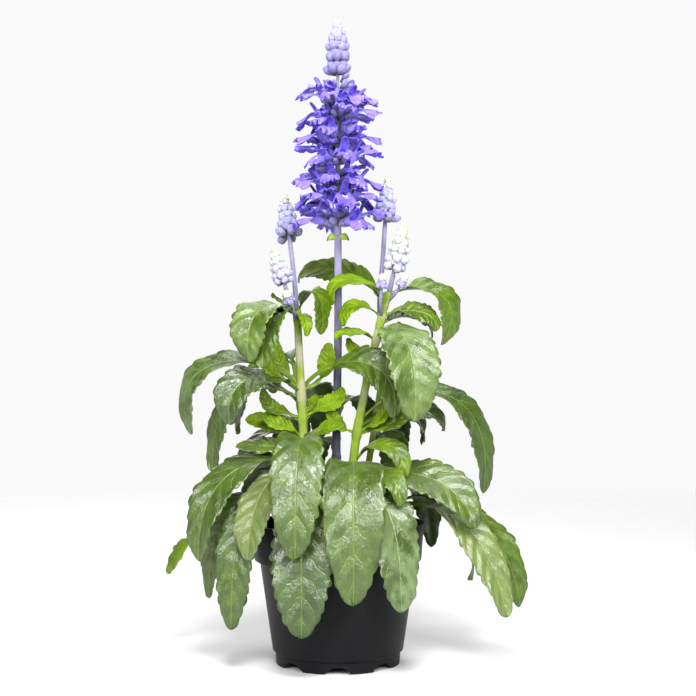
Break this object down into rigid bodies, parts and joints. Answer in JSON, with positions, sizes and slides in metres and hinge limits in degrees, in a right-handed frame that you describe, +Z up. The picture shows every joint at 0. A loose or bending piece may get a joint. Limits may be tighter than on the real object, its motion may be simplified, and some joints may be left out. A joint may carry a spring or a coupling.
{
  "type": "potted perennial salvia",
  "caption": "Bushy flowering sage in a round nursery pot, with toothed leaves, one tall whorled flower spike and closed bud spikes",
  "frame": {"origin": "centre of the pot's foot ring, on the surface that the pot stands on", "axes": "+Z up along the pot's axis and the main stem; -Y the front, as seen in the picture; +X to the viewer's right"},
  "size_m": [0.2271, 0.1321, 0.3973],
  "materials": {
    "pot": "satin",
    "soil": "matte",
    "stem_main": "matte",
    "leaf": "satin",
    "flower": "matte",
    "bud": "matte"
  },
  "bodies": {
    "root": {"pot": "pot", "soil": "soil", "stem_main": "stem_main", "stem_left": "leaf", "stem_right": "leaf", "stem_back_left": "leaf", "stem_back_right": "leaf", "shoot_front": "leaf", "shoot_left": "leaf", "shoot_right": "leaf", "shoot_back": "leaf", "spike_main": "flower", "spike_left": "bud", "spike_left_low": "bud", "spike_right": "bud", "spike_right_low": "bud", "bud_cluster_left": "bud", "bud_cluster_right": "bud", "bud_cluster_middle": "bud"}
  },
  "joints": []
}
